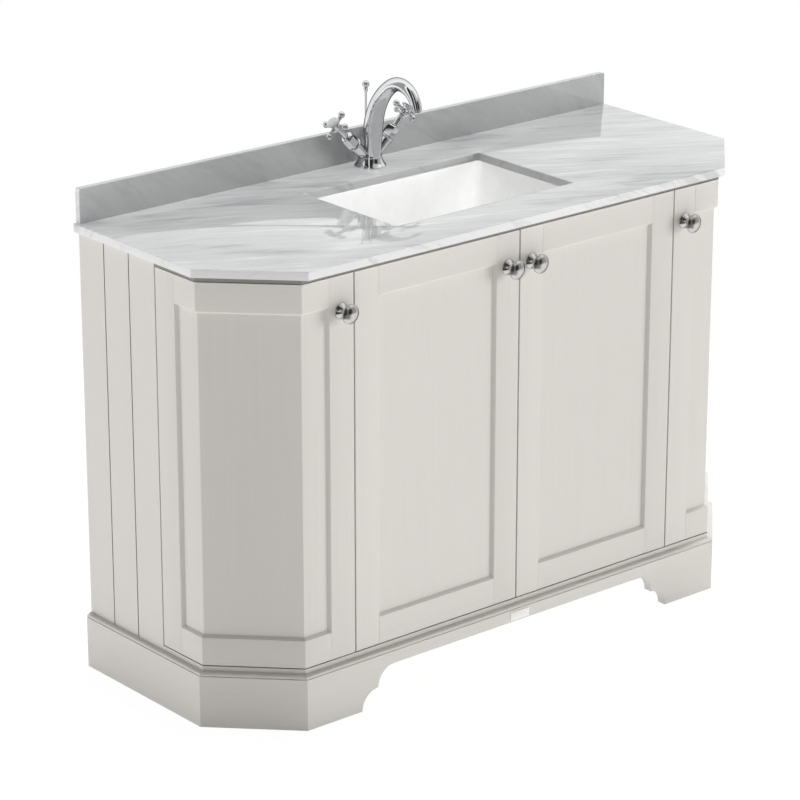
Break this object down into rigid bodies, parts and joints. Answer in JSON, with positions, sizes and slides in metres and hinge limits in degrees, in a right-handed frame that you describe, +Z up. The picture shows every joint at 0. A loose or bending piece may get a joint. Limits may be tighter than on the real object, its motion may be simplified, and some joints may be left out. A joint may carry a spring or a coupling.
{
  "type": "bathroom vanity unit",
  "caption": "Bathroom vanity unit: painted cabinet with canted corner doors on a footed plinth, marble worktop and upstand, undermount basin, cross-handle mixer tap and pop-up waste.",
  "frame": {"origin": "on the floor under the middle of the bounding box", "axes": "+X to the right as seen from the front, +Y back to the wall, +Z up"},
  "size_m": [1.22, 0.4796, 0.9928],
  "materials": {
    "paint": "warm off-white paint over fine-grained wood, satin",
    "inside_board": "painted board, satin",
    "stone": "polished white marble with soft grey veins",
    "ceramic": "white glaze",
    "chrome": "polished chrome plate",
    "nickel": "polished nickel",
    "steel": "plain steel",
    "white_plastic": "moulded white plastic",
    "rubber": "black rubber",
    "plate": "blank satin metal"
  },
  "bodies": {
    "cabinet": {"shelves": "inside_board", "shelf_pegs": "steel", "left_side_panel": "paint", "right_side_panel": "paint", "left_divider": "inside_board", "right_divider": "inside_board", "base_board": "inside_board", "sub_top": "inside_board", "back_rails": "inside_board", "left_back_panel": "inside_board", "right_back_panel": "inside_board", "door_catches": "white_plastic", "plinth_left_side": "paint", "plinth_right_side": "paint", "plinth_corners": "paint", "plinth_front": "paint", "plinth_moulding": "paint", "blank_plate": "plate", "worktop": "stone", "upstand": "stone", "basin": "ceramic", "basin_clips": "steel", "waste_body": "chrome", "waste_nut": "chrome", "bottle_trap": "white_plastic", "trap_outlet": "white_plastic", "tap_body": "chrome", "aerator": "steel", "tap_stud": "steel", "tap_washer": "rubber", "tap_nut": "steel", "valve_bonnets": "chrome"},
    "left_corner_door": {"left_corner_door_stiles": "paint", "left_corner_door_rails": "paint", "left_corner_door_panel": "paint", "left_corner_door_pins": "steel", "left_corner_door_knob": "nickel"},
    "left_centre_door": {"left_centre_door_stiles": "paint", "left_centre_door_rails": "paint", "left_centre_door_panel": "paint", "left_centre_door_pins": "steel", "left_centre_door_knob": "nickel"},
    "left_handle": {"left_tap_handle": "chrome", "left_index_cap": "chrome"},
    "right_corner_door": {"right_corner_door_stiles": "paint", "right_corner_door_rails": "paint", "right_corner_door_panel": "paint", "right_corner_door_pins": "steel", "right_corner_door_knob": "nickel"},
    "right_centre_door": {"right_centre_door_stiles": "paint", "right_centre_door_rails": "paint", "right_centre_door_panel": "paint", "right_centre_door_pins": "steel", "right_centre_door_knob": "nickel"},
    "right_handle": {"right_tap_handle": "chrome", "right_index_cap": "chrome"},
    "lift_rod": {"lift_rod": "chrome", "rod_clamp": "steel"},
    "waste_plug": {"waste_plug": "chrome"},
    "plug_lever": {"plug_lever": "steel"}
  },
  "joints": [
    {"name": "left_corner_door_hinge", "type": "hinge", "parent": "cabinet", "child": "left_corner_door", "pos_m": [-0.5935, 0.01455, 0.45075], "axis": [0, 0, -1], "range_deg": [0, 100]},
    {"name": "left_centre_door_hinge", "type": "hinge", "parent": "cabinet", "child": "left_centre_door", "pos_m": [-0.3555, -0.20285, 0.45075], "axis": [0, 0, -1], "range_deg": [0, 100]},
    {"name": "right_corner_door_hinge", "type": "hinge", "parent": "cabinet", "child": "right_corner_door", "pos_m": [0.5935, 0.01455, 0.45075], "axis": [0, 0, 1], "range_deg": [0, 100]},
    {"name": "right_centre_door_hinge", "type": "hinge", "parent": "cabinet", "child": "right_centre_door", "pos_m": [0.3555, -0.20285, 0.45075], "axis": [0, 0, 1], "range_deg": [0, 100]},
    {"name": "left_handle_turn", "type": "hinge", "parent": "cabinet", "child": "left_handle", "pos_m": [0, 0.19185, 0.8235], "axis": [-0.7071, 0, 0.7071], "range_deg": [0, 90]},
    {"name": "right_handle_turn", "type": "hinge", "parent": "cabinet", "child": "right_handle", "pos_m": [0, 0.19185, 0.8235], "axis": [0.7071, 0, 0.7071], "range_deg": [0, 90]},
    {"name": "lift_slide", "type": "slide", "parent": "cabinet", "child": "lift_rod", "axis": [0, 0, 1], "range_m": [0, 0.02825]},
    {"name": "plug_slide", "type": "slide", "parent": "cabinet", "child": "waste_plug", "axis": [0, 0, 1], "range_m": [-0.0051, 0]},
    {"name": "lever_swing", "type": "hinge", "parent": "cabinet", "child": "plug_lever", "pos_m": [0, 0.03435, 0.5995], "axis": [1, 0, 0], "range_deg": [0, 9.6]}
  ],
  "couplings": [
    {"joint": "plug_slide", "follows": "lift_slide", "ratio": -0.17699},
    {"joint": "lever_swing", "follows": "lift_slide", "rad_per_m": 5.8997}
  ]
}
